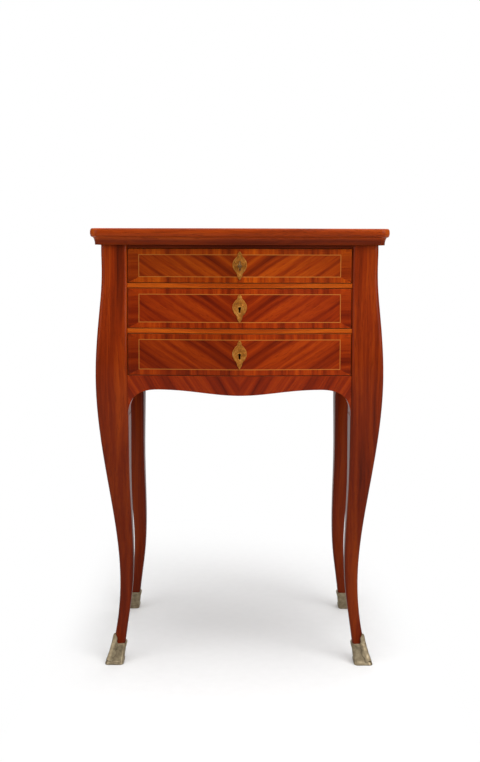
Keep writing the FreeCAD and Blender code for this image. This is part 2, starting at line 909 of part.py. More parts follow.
lifted_skin = front_skin.translated(-ALONG * float(d.plate_fit))
plate_stock = shaped("plate_stock", lifted_skin.extrude(-ALONG * float(d.plate_thickness)))
drawer_middles = {}
for number, foot in opening_feet.items():
    title = f"drawer_{number}"
    top = opening_tops[number]
    middle = (foot + top) / 2
    drawer_middles[number] = middle
    front_z = (foot + d.drawer_gap, top - d.drawer_gap)
    side_z = (foot, top - d.drawer_headroom)
    bottom_z = (foot + d.drawer_bottom_rise, foot + d.drawer_bottom_rise + d.drawer_bottom_thickness)
    back_z = (bottom_z[1], side_z[1])

    bottom = node(
        f"{title}_bottom",
        board(
            f"{title}_bottom",
            centred(drawer_half - d.drawer_side_thickness + d.groove_depth),
            (-(front_back + d.groove_depth), drawer_rear),
            bottom_z,
        ),
    )

    sockets_front = []
    sockets_back = []
    for side, x in (
        ("right", (drawer_half - d.drawer_side_thickness, drawer_half)),
        ("left", (-drawer_half, -(drawer_half - d.drawer_side_thickness))),
    ):
        tails = []
        for row, share in enumerate((0.27, 0.73)):
            at_front = side_z[0] + (side_z[1] - side_z[0]) * share
            at_back = back_z[0] + (back_z[1] - back_z[0]) * share
            half_front = (side_z[1] - side_z[0]) * 0.11
            half_back = (back_z[1] - back_z[0]) * 0.11
            name = f"{title}_tail_{side}_{row}"
            root = -front_back
            sockets_front.append(
                tail(name + "_front", x, root, root - d.dovetail_length, at_front, half_front)
            )
            sockets_back.append(
                tail(name + "_back", x, drawer_rear_inner, drawer_rear, at_back, half_back)
            )
            tails += [sockets_front[-1], sockets_back[-1]]
        plank = board(f"{title}_plank_{side}", x, (-front_back, drawer_rear_inner), side_z)
        whole = fuse(f"{title}_tailed_{side}", [plank] + tails)
        node(f"{title}_side_{side}", cut(f"{title}_side_{side}", whole, [bottom]))
    back_plank = board(
        f"{title}_back_plank", centred(drawer_half), (drawer_rear_inner, drawer_rear), back_z
    )
    node(f"{title}_back", cut(f"{title}_back", back_plank, sockets_back))

    lock_z = (middle - d.lock_drop, front_z[1])
    recess = board(
        f"{title}_lock_recess", centred(d.lock_width / 2), (-lock_front, -front_back), lock_z
    )
    cavity = board(
        f"{title}_lock_cavity",
        centred(d.bolt_width / 2 + d.bolt_play),
        (-lock_front, -(front_back + d.lock_plate)),
        (lock_z[0] + d.lock_plate, lock_z[1]),
    )
    screw_spots = [(-d.lock_screw_spacing / 2, middle), (d.lock_screw_spacing / 2, middle)]
    pin_spots = [(Size.of(0), middle + d.plate_pin_spacing / 2), (Size.of(0), middle - d.plate_pin_spacing / 2)]
    fixings = []
    lock_holes = []
    plate_holes = []
    for index, (across, up) in enumerate(screw_spots):
        name = f"{title}_lock_screw_{index}"
        length = d.lock_depth + d.pin_length
        spot = (across, -front_back, up)
        fixings.append(rod(name, d.screw_radius, length, *spot))
        lock_holes.append(rod(name + "_hole", d.screw_radius + d.hole_clearance, length, *spot))
    for index, (across, up) in enumerate(pin_spots):
        name = f"{title}_plate_pin_{index}"
        start = -(front_reach(up) - d.pin_length)
        length = d.pin_length + d.plate_fit + d.plate_thickness + d.pin_proud
        fixings.append(rod(name, d.pin_radius, length, across, start, up))
        plate_holes.append(
            rod(name + "_hole", d.pin_radius + d.hole_clearance, length, across, start, up)
        )
    keyhole = fuse(
        f"{title}_keyhole",
        [
            rod(f"{title}_keyhole_round", d.keyhole_radius, far, Size.of(0), -lock_front, middle),
            board(
                f"{title}_keyhole_slot",
                centred(d.keyhole_slot / 2),
                (-far, -lock_front),
                (middle - d.keyhole_drop, middle),
            ),
        ],
    )

    lock = cut(f"{title}_lock", recess, [cavity] + lock_holes)
    node(f"{title}_lock", lock)
    bolt_z = (lock_z[0] + d.lock_plate + d.bolt_play, lock_z[1] - d.bolt_play / 2)
    bolt_blank = board(
        f"{title}_bolt_blank", centred(d.bolt_width / 2), (-bolt_front, -bolt_back), bolt_z
    )
    window = board(
        f"{title}_bolt_window",
        centred(d.window_width / 2),
        (-far, far),
        (middle - d.window_width / 2 - d.bolt_throw, middle + d.window_width / 2),
    )
    node(f"{title}_bolt", cut(f"{title}_bolt", bolt_blank, [window]))

    front_block = common(
        f"{title}_front_block",
        front_stock,
        board(f"{title}_front_span", centred(drawer_half), (-far, -front_back), front_z),
    )
    openings = sockets_front + [bottom, recess, keyhole] + lock_holes + plate_holes
    node(f"{title}_front", cut(f"{title}_front", front_block, openings))

    plate_prism = shaped(f"{title}_plate_prism", plate_face(float(middle)).extrude(-ALONG * 400))
    plate_body = common(f"{title}_plate_body", plate_stock, plate_prism)
    node(f"{title}_escutcheon", cut(f"{title}_escutcheon", plate_body, [keyhole] + plate_holes))
    node(f"{title}_fixings", group(f"{title}_fixings", fixings))

# The key, left in the upper drawer's lock with its ring on edge to the front

key_height = drawer_middles[1]
key_tip = front_back + d.lock_plate + d.bolt_play
plate_surface = front_reach(key_height) + d.plate_fit + d.plate_thickness
collar_back = plate_surface + d.hole_clearance
collar_front = collar_back + d.key_collar_length
ring_middle = collar_front + d.key_neck_length + d.key_bow_radius
key_shank = rod(
    "key_shank",
    d.key_radius,
    collar_front + d.key_neck_length + d.key_bow_wire - key_tip,
    0,
    -key_tip,
    key_height,
)
key_collar = rod("key_collar", d.key_collar_radius, d.key_collar_length, 0, -collar_back, key_height)
key_bit = board(
    "key_bit",
    centred(d.key_bit_thickness / 2),
    (-(bolt_front - d.bolt_play / 2), -(bolt_back + d.bolt_play / 2)),
    (key_height - d.key_bit_length, key_height),
)
key_ring = doc.addObject("Part::Torus", "key_ring")
key_ring.setExpression("Radius1", d.key_bow_radius.formula)
key_ring.setExpression("Radius2", d.key_bow_wire.formula)
key_ring.Placement = Placement(Vector(), Rotation(ALONG, 90))
key_ring.setExpression("Placement.Base.y", (-ring_middle).formula)
key_ring.setExpression("Placement.Base.z", key_height.formula)
node("key", fuse("key", [key_shank, key_collar, key_bit, key_ring]))

# Check every object, then write one file for each sub-part

doc.recompute()
for piece in doc.Objects:
    faults = [state for state in piece.State if state in ("Invalid", "Error")]
    if faults:
        raise RuntimeError(f"{piece.Label}: {faults}")
os.makedirs("parts", exist_ok=True)
for piece in nodes:
    if piece.Shape.isNull() or not piece.Shape.isValid() or not piece.Shape.Solids:
        raise RuntimeError(f"{piece.Label}: no valid solid")
    piece.Shape.exportStep(f"parts/{piece.Label}.step")
    print(piece.Label, len(piece.Shape.Solids), round(piece.Shape.Volume))
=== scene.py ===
import json
import math

import bpy
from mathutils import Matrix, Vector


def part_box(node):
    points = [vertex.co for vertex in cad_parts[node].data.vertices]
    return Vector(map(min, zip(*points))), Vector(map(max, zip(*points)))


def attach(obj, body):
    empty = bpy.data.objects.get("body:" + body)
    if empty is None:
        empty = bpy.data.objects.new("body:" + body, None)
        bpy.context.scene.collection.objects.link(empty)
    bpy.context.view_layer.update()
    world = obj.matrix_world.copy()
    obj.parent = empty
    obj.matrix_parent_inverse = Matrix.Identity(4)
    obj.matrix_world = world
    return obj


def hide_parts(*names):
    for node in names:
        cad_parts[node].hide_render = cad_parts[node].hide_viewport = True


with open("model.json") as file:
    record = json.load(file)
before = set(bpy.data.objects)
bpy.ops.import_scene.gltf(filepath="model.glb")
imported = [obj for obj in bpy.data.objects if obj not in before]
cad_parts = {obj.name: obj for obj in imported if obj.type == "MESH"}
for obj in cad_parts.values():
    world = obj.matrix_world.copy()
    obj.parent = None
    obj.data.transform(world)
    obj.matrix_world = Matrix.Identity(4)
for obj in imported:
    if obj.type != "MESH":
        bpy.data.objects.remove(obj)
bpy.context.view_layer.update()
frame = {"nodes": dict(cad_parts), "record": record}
nodes = frame["nodes"]

# Legs. Each is one length of solid wood, a corner post above and a curved leg below,
# sawn to shape, eased on its edges, stained red-brown and polished. The rails and sides
# are tenoned and tongued into it.


class Shade:
    """One output of a shader node, used in sums as a number would be."""

    def __init__(self, tree, socket=None):
        self.tree = tree
        self.socket = socket

    def node(self, kind, inputs, output=0, stops=(), **settings):
        """Adds a node: its settings first, then the values or links of its sockets."""
        made = self.tree.nodes.new(kind)
        for name, value in settings.items():
            setattr(made, name, value)
        if stops:
            ramp = made.color_ramp.elements
            ramp.remove(ramp[1])
            ramp[0].position, ramp[0].color = stops[0]
            for place, colour in stops[1:]:
                ramp.new(place).color = colour
        for key, value in inputs.items():
            if isinstance(value, Shade):
                self.tree.links.new(value.socket, made.inputs[key])
            else:
                made.inputs[key].default_value = value
        return Shade(self.tree, made.outputs[output])

    def maths(self, operation, first, second=0.0):
        return self.node("ShaderNodeMath", {0: first, 1: second}, operation=operation)

    def __add__(self, other):
        return self.maths("ADD", self, other)

    def __radd__(self, other):
        return self.maths("ADD", other, self)

    def __sub__(self, other):
        return self.maths("SUBTRACT", self, other)

    def __rsub__(self, other):
        return self.maths("SUBTRACT", other, self)

    def __mul__(self, other):
        return self.maths("MULTIPLY", self, other)

    def __rmul__(self, other):
        return self.maths("MULTIPLY", other, self)

    def __lt__(self, other):
        return self.maths("LESS_THAN", self, other)

    def __gt__(self, other):
        return self.maths("GREATER_THAN", self, other)

    def __abs__(self):
        return self.maths("ABSOLUTE", self)

    def least(self, other):
        return self.maths("MINIMUM", self, other)

    def most(self, other):
        return self.maths("MAXIMUM", self, other)

    def rising(self, start, end):
        """0 up to the start, 1 from the end on, and a smooth slope between."""
        return self.node("ShaderNodeMapRange", {"Value": self, "From Min": start, "From Max": end},
                         interpolation_type="SMOOTHSTEP")

    def between(self, colour, other):
        """The first colour where this is 0 and the other where it is 1."""
        return self.node("ShaderNodeMix", {0: self, 6: colour, 7: other}, 2, data_type="RGBA")

    def tinted(self, colour):
        """This colour seen through another one."""
        return self.node("ShaderNodeMix", {0: 1.0, 6: self, 7: colour}, 2, data_type="RGBA",
                         blend_type="MULTIPLY")

    def ramp(self, *stops):
        """A colour for each value of this, from stops of a place and its colour."""
        return self.node("ShaderNodeValToRGB", {"Fac": self}, stops=stops)


def shown(red, green, blue):
    """A colour as a screen shows it, out of 255, turned into amounts of light."""
    light = [((part / 255 + 0.055) / 1.055) ** 2.4 for part in (red, green, blue)]
    return (*light, 1.0)


class Finish:
    """A new material, with its surface shader and the places that its patterns read."""

    SOUND_EDGE = 0.45
    EDGE_SPREAD = 0.25

    def __init__(self, name, **surface):
        self.material = bpy.data.materials.new(name)
        self.material.use_nodes = True
        self.tree = self.material.node_tree
        self.shader = self.tree.nodes["Principled BSDF"]
        for socket, value in surface.items():
            self.shader.inputs[socket.replace("_", " ")].default_value = value
        self.place = Shade(self.tree).node("ShaderNodeTexCoord", {}, "Object")
        self.x, self.y, self.z = (
            self.place.node("ShaderNodeSeparateXYZ", {"Vector": self.place}, axis) for axis in "XYZ"
        )

    def noise(self, x, y, z, detail=2.0, roughness=0.5):
        """Cloudy noise, about 0.25 to 0.75, at a point whose parts are already scaled."""
        point = self.place.node("ShaderNodeCombineXYZ", {"X": x, "Y": y, "Z": z})
        settings = {"Vector": point, "Scale": 1.0, "Detail": detail, "Roughness": roughness}
        return self.place.node("ShaderNodeTexNoise", settings)

    def cloud(self, waves, detail=2.0):
        """Cloudy noise with as many waves to the metre every way."""
        return self.noise(self.x * waves, self.y * waves, self.z * waves, detail)

    def give(self, socket, value):
        """Feeds one socket of the surface shader."""
        self.tree.links.new(value.socket, self.shader.inputs[socket])

    def faces(self, side):
        """1 on the faces that look to one side, such as "-Y", and 0 on the others."""
        normal = self.place.node("ShaderNodeTexCoord", {}, "Normal")
        part = self.place.node("ShaderNodeSeparateXYZ", {"Vector": normal}, side[1])
        return (part * (-1.0 if side[0] == "-" else 1.0)) > 0.5

    def eased_edges(self, radius):
        """The surface's direction with its sharp edges rounded over, and how near an edge is.
        A thin tip, where rounding would turn the direction over, is left as it is."""
        eased = self.place.node("ShaderNodeBevel", {"Radius": radius}, samples=6)
        flat = self.place.node("ShaderNodeNewGeometry", {}, "Normal")
        agree = eased.node("ShaderNodeVectorMath", {0: eased, 1: flat}, "Value", operation="DOT_PRODUCT")
        sound = agree > self.SOUND_EDGE
        return sound.between(flat, eased), (1 - agree).rising(0.0, self.EDGE_SPREAD) * sound

    def relief(self, height, strength, distance, eased):
        """Raises fine detail on the eased surface."""
        settings = {"Height": height, "Strength": strength, "Distance": distance, "Normal": eased}
        self.give("Normal", self.place.node("ShaderNodeBump", settings))


def wood_grain(finish, run, across, through):
    """Broad figure, from dark to light wood, and fine fibres, for grain along one way.
    The numbers in each noise are its waves to the metre along, across and through the wood."""
    sway = finish.noise(run * 3.0, across * 11.0, through * 11.0) - 0.5
    line = across + sway * GRAIN_SWAY
    bands = finish.noise(run * 2.0, line * 95.0, through * 45.0, detail=4.0, roughness=0.62)
    broad = finish.noise(run * 1.4, line * 17.0, through * 12.0)
    fibres = finish.noise(run * 26.0, line * 1300.0, through * 700.0, detail=2.0, roughness=0.6)
    return bands * BAND_SHARE + broad * (1 - BAND_SHARE), fibres


def figured(figure, tones):
    """Colours of the wood from its dark lines to its light ones."""
    dark, middle, light = tones
    return figure.ramp((0.34, dark), (0.5, middle), (0.66, light))


def polish(finish, colour, fibres, dark, worn):
    """Fills the pores with dark, wears the edges a little and lays the polish on."""
    pores = (PORE_LEVEL - fibres).rising(0.0, 0.12)
    colour = (pores * PORE_DARKNESS).between(colour, dark)
    eased, edge = finish.eased_edges(EDGE_RADIUS)
    colour = (edge * EDGE_WEAR).between(colour, worn)
    finish.give("Base Color", colour)
    finish.give("Roughness", 0.24 + fibres * 0.14 + edge * 0.1)
    finish.relief(fibres - pores * 0.6, strength=0.1, distance=0.0004, eased=eased)


def dress(finish, *names):
    """Gives CAD nodes a finish in place of their plain colour."""
    for name in names:
        slots = nodes[name].data.materials
        slots.clear()
        slots.append(finish.material)


GRAIN_SWAY = 0.035
BAND_SHARE = 0.62
PORE_LEVEL, PORE_DARKNESS = 0.46, 0.5
EDGE_RADIUS, EDGE_WEAR = 0.0012, 0.35
POLISHED = {"Specular_IOR_Level": 0.06, "Coat_Weight": 0.1, "Coat_Roughness": 0.1}
UNTINTED = (1, 1, 1, 1)
LEG_TONES = (shown(76, 22, 4), shown(133, 42, 5), shown(168, 67, 10))
LEG_SHADE_TINT = (0.54, 0.5, 0.5, 1)
SHADE_BELOW, SHADE_CLEAR_ABOVE = 0.2, 0.68
SHADED_BACK_LEGS_FROM = (-0.02, 0.02)
WORN_WOOD = shown(176, 92, 34)
CORNERS = ("front_right", "front_left", "back_right", "back_left")

leg_wood = Finish("leg_wood", **POLISHED)
leg_figure, leg_fibres = wood_grain(leg_wood, leg_wood.z, leg_wood.x, leg_wood.y)
leg_colour = figured(leg_figure, LEG_TONES)
# Painted shade: the legs' colour is darkened towards the feet, where less light falls, and it is clear
# above.
painted_leg_shade = 1 - leg_wood.z.rising(SHADE_BELOW, SHADE_CLEAR_ABOVE)
# Painted shade: the back legs are darkened all over, for the shade they stand in behind the front ones.
painted_leg_shade = painted_leg_shade.most(leg_wood.y.rising(*SHADED_BACK_LEGS_FROM))
leg_colour = leg_colour.tinted(painted_leg_shade.between(UNTINTED, LEG_SHADE_TINT))
polish(leg_wood, leg_colour, leg_fibres, LEG_TONES[0], WORN_WOOD)
dress(leg_wood, *[f"leg_{corner}" for corner in CORNERS])

# Shoes. Cast brass cups that close the feet of the legs, with a raised lip, a raised pad
# and a leaf up the outer corner, dulled with age and each held with one pin.


def cast_brass(name, dark, middle, light, depth):
    """Cast brass, brown in hollows of about the depth given, rubbed bright on its edges."""
    finish = Finish(name, Metallic=0.85)
    cloud = finish.cloud(150, detail=3.0)
    grit = finish.cloud(1500)
    colour = cloud.ramp((0.05, dark), (0.5, middle), (0.95, light))
    hollow = cloud.node("ShaderNodeAmbientOcclusion", {"Distance": depth}, "AO", only_local=True)
    colour = hollow.rising(0.3, 0.95).between(dark, colour)
    eased, edge = finish.eased_edges(0.0004)
    colour = (edge * 0.6).between(colour, light)
    finish.give("Base Color", colour)
    finish.give("Roughness", 0.5 - cloud * 0.16 - edge * 0.08)
    finish.relief(cloud * 0.6 + grit * 0.4, strength=0.1, distance=0.0004, eased=eased)
    return finish


def pick_up(*pieces):
    """Leaves only these pieces selected, so that the operators act on them, the first as active."""
    bpy.ops.object.select_all(action="DESELECT")
    for piece in pieces:
        piece.select_set(True)
    bpy.context.view_layer.objects.active = pieces[0]


def copied(mesh, name):
    """A new piece with its own copy of a mesh."""
    piece = bpy.data.objects.new(name, mesh.copy())
    bpy.context.scene.collection.objects.link(piece)
    pick_up(piece)
    return piece


def choose(piece, kind, test):
    """Selects, in edit mode, the points or faces of a piece that pass a test."""
    bpy.ops.object.mode_set(mode="EDIT")
    bpy.ops.mesh.select_mode(type="VERT" if kind == "vertices" else "FACE")
    bpy.ops.mesh.select_all(action="DESELECT")
    bpy.ops.object.mode_set(mode="OBJECT")
    for part in getattr(piece.data, kind):
        part.select = test(part)
    bpy.ops.object.mode_set(mode="EDIT")


def close_seams():
    """Merges the points of the active piece that lie on each other."""
    bpy.ops.object.mode_set(mode="EDIT")
    bpy.ops.mesh.select_all(action="SELECT")
    bpy.ops.mesh.remove_doubles(threshold=SAME_PLACE)
    bpy.ops.object.mode_set(mode="OBJECT")


def face_outwards():
    """Turns all the faces of the active piece outwards."""
    bpy.ops.object.mode_set(mode="EDIT")
    bpy.ops.mesh.select_all(action="SELECT")
    bpy.ops.mesh.normals_make_consistent(inside=False)
    bpy.ops.object.mode_set(mode="OBJECT")


def settle():
    """Puts the place, turn and scale of what is picked up into its mesh."""
    bpy.ops.object.transform_apply(location=True, rotation=True, scale=True)


def apply_modifier(piece, kind, **settings):
    """Adds a modifier to the active piece with its settings and applies it."""
    modifier = piece.modifiers.new(kind.lower(), kind)
    for name, value in settings.items():
        setattr(modifier, name, value)
    bpy.ops.object.modifier_apply(modifier=modifier.name)


def put_on(piece, finish, body, slot, *replaced, edge_angle):
    """Smooths a finished piece, gives it its material and fixes it to its body."""
    pick_up(piece)
    bpy.ops.object.shade_smooth_by_angle(angle=math.radians(edge_angle))
    piece.data.materials.clear()
    piece.data.materials.append(finish.material)
    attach(piece, body)
    if replaced:
        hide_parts(*replaced)


SAME_PLACE = 0.00001
SHOE_LIP = (0.0265, 0.0305)
SHOE_PAD = (0.0008, 0.0050)
SHOE_RISE = 0.0009
SHOE_EDGE, SHOE_CREASE = 0.0003, 40
SHOE_BRASS = (shown(84, 72, 54), shown(156, 140, 112), shown(200, 184, 152))
LEAF_FOOT, LEAF_TIP = 0.006, 0.047
LEAF_COLUMNS, LEAF_ROWS = 14, 36
LEAF_WIDTH = 0.025
LEAF_START, LEAF_FULLNESS, LEAF_TIP_SHARE = 0.28, 0.8, 0.02
LEAF_LOBES, LOBE_DEPTH = 3.5, 0.28
LEAF_THICKNESS = 0.0031
LEAF_RIB = 0.0008
LEAF_RISE = 0.0016
LEAF_CLEARANCE = 0.0002
WELL_OUTSIDE, BESIDE_CORNER = 0.1, 0.0004

shoe_low, shoe_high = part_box("sabot_front_right")
foot_x, foot_y = (shoe_low.x + shoe_high.x) / 2, (shoe_low.y + shoe_high.y) / 2
shoe = copied(nodes["sabot_front_right"].data, "shoe_front_right")
close_seams()

leaf_height = LEAF_TIP - LEAF_FOOT
bpy.ops.object.select_all(action="DESELECT")
bpy.ops.mesh.primitive_grid_add(
    x_subdivisions=LEAF_COLUMNS, y_subdivisions=LEAF_ROWS, size=1,
    location=(foot_x, foot_y, LEAF_FOOT + leaf_height / 2), rotation=(math.pi / 2, 0, math.pi / 4))
leaf = bpy.context.object
leaf.scale = (LEAF_WIDTH, leaf_height, 1)
settle()
rib = {point.index for point in leaf.data.vertices if abs(point.co.x - foot_x) < 2 * SAME_PLACE}
for row in range(LEAF_ROWS + 1):
    along = row / LEAF_ROWS
    level = LEAF_FOOT + leaf_height * along
    lobes = (1 - LOBE_DEPTH) + LOBE_DEPTH * abs(math.cos(LEAF_LOBES * math.pi * along))
    swell = math.sin(math.pi * (LEAF_START + (1 - LEAF_START) * along))
    width = max(swell, LEAF_TIP_SHARE) ** LEAF_FULLNESS * lobes
    carrier = shoe if level <= SHOE_LIP[1] else nodes["leg_front_right"]
    corner_spot = carrier.ray_cast(
        (foot_x + WELL_OUTSIDE + BESIDE_CORNER, foot_y - WELL_OUTSIDE + BESIDE_CORNER, level), (-1, 1, 0))[1]
    choose(leaf, "vertices", lambda point: abs(point.co.z - level) < leaf_height / LEAF_ROWS / 3)
    bpy.ops.transform.resize(value=(width, width, 1), center_override=(foot_x, foot_y, level))
    bpy.ops.transform.translate(value=(corner_spot.x - foot_x, corner_spot.y - foot_y, 0))
bpy.ops.object.mode_set(mode="OBJECT")
above_lip = {point.index for point in leaf.data.vertices if point.co.z > SHOE_LIP[1]}
leg_form = copied(nodes["leg_front_right"].data, "leg_form")
close_seams()
pick_up(leaf)
for form, lift, above in ((shoe, LEAF_RISE, False), (leg_form, LEAF_THICKNESS, True)):
    choose(leaf, "vertices", lambda point: (point.index in above_lip) == above)
    bpy.ops.object.vertex_group_assign_new()
    bpy.ops.object.mode_set(mode="OBJECT")
    apply_modifier(leaf, "SHRINKWRAP", target=form, vertex_group=leaf.vertex_groups[-1].name,
                   wrap_mode="ABOVE_SURFACE", wrap_method="NEAREST_SURFACEPOINT", offset=lift)
bpy.data.objects.remove(leg_form)
choose(leaf, "vertices", lambda point: point.index in rib)
bpy.ops.transform.translate(value=(LEAF_RIB * math.sqrt(0.5), -LEAF_RIB * math.sqrt(0.5), 0))
bpy.ops.object.mode_set(mode="OBJECT")
apply_modifier(leaf, "SOLIDIFY", thickness=LEAF_THICKNESS - LEAF_CLEARANCE, offset=-1)
face_outwards()

pick_up(shoe)
bpy.ops.object.mode_set(mode="EDIT")
for level in SHOE_LIP + SHOE_PAD:
    bpy.ops.mesh.select_all(action="SELECT")
    bpy.ops.mesh.bisect(plane_co=(0, 0, level), plane_no=(0, 0, 1))
for foot, top in (SHOE_LIP, SHOE_PAD):
    choose(shoe, "polygons", lambda face: foot < face.center.z < top and (
        face.normal.x * (face.center.x - foot_x) + face.normal.y * (face.center.y - foot_y) > 0))
    bpy.ops.mesh.extrude_region_shrink_fatten(TRANSFORM_OT_shrink_fatten={"value": SHOE_RISE})
bpy.ops.object.mode_set(mode="OBJECT")
pick_up(shoe, leaf)
bpy.ops.object.join()
apply_modifier(shoe, "BEVEL", width=SHOE_EDGE, segments=2, limit_method="ANGLE",
               angle_limit=math.radians(SHOE_CREASE))

shoe_brass = cast_brass("shoe_brass", *SHOE_BRASS, depth=0.003)
for corner in CORNERS:
    piece = shoe if corner == "front_right" else copied(shoe.data, f"shoe_{corner}")
    mirror = (-1 if "left" in corner else 1, -1 if "back" in corner else 1, 1)
    bpy.ops.object.mode_set(mode="EDIT")
    bpy.ops.mesh.select_all(action="SELECT")
    bpy.ops.transform.resize(value=mirror, center_override=(0, 0, 0))
    if mirror[0] * mirror[1] < 0:
        bpy.ops.mesh.flip_normals()
    bpy.ops.object.mode_set(mode="OBJECT")
    put_on(piece, shoe_brass, "case", "brass", f"sabot_{corner}", edge_angle=35)
dress(shoe_brass, "sabot_pins")

# Sides and front frame. Boards of plain wood, veneered on their outer faces with leaves
# matched on the middle line. The sides are tongued into the posts, the apron and the rails
# are tenoned, and the rails are faced with straight veneer.


def veneered(name, node, side, tones, turn, ground, border=None, shaded_leaf=1.0):
    """Two leaves of veneer matched on a middle line, inside a crossbanded border with a string,
    on the faces of a board that look to one side. Its other faces show the ground wood.
    A border is its width and tint at the ends, then its width and tint along the sides."""
    finish = Finish(name, **POLISHED)
    low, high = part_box(node)
    places = (finish.x, finish.y, finish.z)
    depth = "XYZ".index(side[1])
    i, j = (axis for axis in range(3) if axis != depth)
    first, second, through = places[i], places[j], places[depth]
    half_i, half_j = (high[i] - low[i]) / 2, (high[j] - low[j]) / 2
    across = first - (low[i] + half_i)
    up = second - (low[j] + half_j)
    out = abs(across)
    cosine, sine = math.cos(math.radians(turn)), math.sin(math.radians(turn))
    figure, fibres = wood_grain(finish, out * cosine + up * sine, up * cosine - out * sine, through)
    colour = figured(figure, tones)
    if border:
        end_width, end_tint, side_width, side_tint = border
        from_end = (half_i - end_width) - out
        from_side = (half_j - side_width) - abs(up)
        inside = from_end.least(from_side)
        at_end = (from_end * (1 / end_width)) < (from_side * (1 / side_width))
        band_run = at_end * across + (1 - at_end) * up
        band_across = at_end * up + (1 - at_end) * across
        band_figure, band_fibres = wood_grain(finish, band_run, band_across, through)
        band = figured(band_figure, tones).tinted(at_end.between(side_tint, end_tint))
        in_band = inside < 0.0
        string = (inside > 0.0) * (inside < STRING_WIDTH)
        colour = (string * STRING_STRENGTH).between(in_band.between(colour, band), STRING)
        fibres = (in_band * band_fibres + (1 - in_band) * fibres).most(string * 0.5)
    # The leaf on the low side of the middle line is darkened: painted shade, for light that falls from the
    # other side.
    if shaded_leaf < 1.0:
        leaf_shade_tint = (across < 0.0).between(UNTINTED, (shaded_leaf, shaded_leaf, shaded_leaf, 1))
        colour = colour.tinted(leaf_shade_tint)
    skin = finish.faces(side)
    colour = skin.between(figured(wood_grain(finish, first, second, through)[0], ground), colour)
    polish(finish, colour, fibres, tones[0], WORN_WOOD)
    finish.give("Coat Weight", skin * POLISHED["Coat_Weight"])
    dress(finish, node)


STRING = shown(190, 118, 50)
STRING_WIDTH, STRING_STRENGTH = 0.0011, 0.8
GROUND = (shown(120, 76, 40), shown(164, 116, 70), shown(190, 146, 96))
SIDE_TONES = (shown(86, 24, 3), shown(140, 46, 5), shown(178, 74, 12))
SHADED_TOP_RAIL_TONES = (shown(52, 14, 2), shown(92, 26, 4), shown(120, 42, 8))
RAIL_TONES = (shown(104, 36, 4), shown(164, 66, 9), shown(198, 96, 18))
APRON_TONES = (shown(78, 17, 2), shown(130, 36, 4), shown(160, 56, 8))

veneered("right_side_veneer", "side_right", "+X", SIDE_TONES, turn=62, ground=SIDE_TONES, shaded_leaf=0.94)
veneered("left_side_veneer", "side_left", "-X", SIDE_TONES, turn=62, ground=SIDE_TONES, shaded_leaf=0.94)
# The front top rail's dark tones are painted shade, for the shadow under the top's moulding.
veneered("top_rail_veneer", "front_top_rail", "-Y", SHADED_TOP_RAIL_TONES, turn=0, ground=GROUND)
for rail in ("drawer_rail_upper", "drawer_rail_lower"):
    veneered(f"{rail}_veneer", rail, "-Y", RAIL_TONES, turn=0, ground=GROUND)
veneered("apron_veneer", "front_apron", "-Y", APRON_TONES, turn=58, ground=APRON_TONES, shaded_leaf=0.9)

# Inside of the case. Plain beech rails, stops, dust boards and back panel with the grain
# across, and runners, guides and glue blocks with the grain from front to back, all
# planed, unpolished and browned with age.


def plain_wood(name, tones, run):
    """Planed wood with no polish, its grain along one way."""
    finish = Finish(name, Specular_IOR_Level=0.25)
    ways = {"X": finish.x, "Y": finish.y, "Z": finish.z}
    figure, fibres = wood_grain(finish, ways.pop(run), *ways.values())
    dirt = finish.cloud(14, detail=3.0)
    colour = (dirt.rising(0.4, 0.8) * 0.4).between(figured(figure, tones), tones[0])
    pores = (0.44 - fibres).rising(0.0, 0.1)
    finish.give("Base Color", (pores * 0.4).between(colour, tones[0]))
    finish.give("Roughness", 0.62 + fibres * 0.2)
    eased = finish.eased_edges(0.0008)[0]
    finish.relief(fibres - pores * 0.5, strength=0.2, distance=0.0004, eased=eased)
    return finish


BEECH = (shown(96, 62, 34), shown(150, 106, 66), shown(182, 138, 92))
beech_across = plain_wood("beech_across", BEECH, "X")
beech_deep = plain_wood("beech_deep", BEECH, "Y")
dress(beech_across, "back_top_rail", "back_bottom_rail", "back_panel", "drawer_rail_bottom",
      "drawer_stops", *[f"dust_board_{number}" for number in (1, 2, 3)])
dress(beech_deep, "glue_blocks", *[f"runners_{number}" for number in (1, 2, 3)])

# Top. A veneered board in a mitred frame of moulding, a round bead over a hollow, screwed
# up through the glue blocks with iron screws.

TOP_TONES = (shown(78, 24, 4), shown(134, 48, 8), shown(168, 74, 18))
TOP_BAND = (0.03, (0.8, 0.72, 0.7, 1)) * 2
veneered("top_veneer", "top_board", "+Z", TOP_TONES, turn=28, ground=GROUND, border=TOP_BAND,
         shaded_leaf=0.93)

MOULDING_TONES = (shown(88, 26, 4), shown(146, 52, 8), shown(180, 78, 18))
HOLLOW_TOP, HOLLOW_MIDDLE = 0.011, 0.006
HOLLOW_SHADE = (0.5, 0.43, 0.4, 1)
moulding_wood = Finish("moulding_wood", **POLISHED)
moulding_low, moulding_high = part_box("top_moulding")
at_sides = (abs(moulding_wood.x) - moulding_high.x) > (abs(moulding_wood.y) - moulding_high.y)
moulding_run = at_sides * moulding_wood.y + (1 - at_sides) * moulding_wood.x
moulding_across = at_sides * moulding_wood.x + (1 - at_sides) * moulding_wood.y
moulding_figure, moulding_fibres = wood_grain(
    moulding_wood, moulding_run, moulding_across, moulding_wood.z)
# The hollow under the bead is darkened in colour: painted shade, where the bead keeps the light from above
# off it.
shaded_hollow = moulding_wood.z.rising(moulding_low.z + HOLLOW_TOP, moulding_low.z + HOLLOW_MIDDLE)
moulding_colour = figured(moulding_figure, MOULDING_TONES)
moulding_colour = moulding_colour.tinted(shaded_hollow.between(UNTINTED, HOLLOW_SHADE))
polish(moulding_wood, moulding_colour, moulding_fibres, TOP_TONES[0], WORN_WOOD)
dress(moulding_wood, "top_moulding")


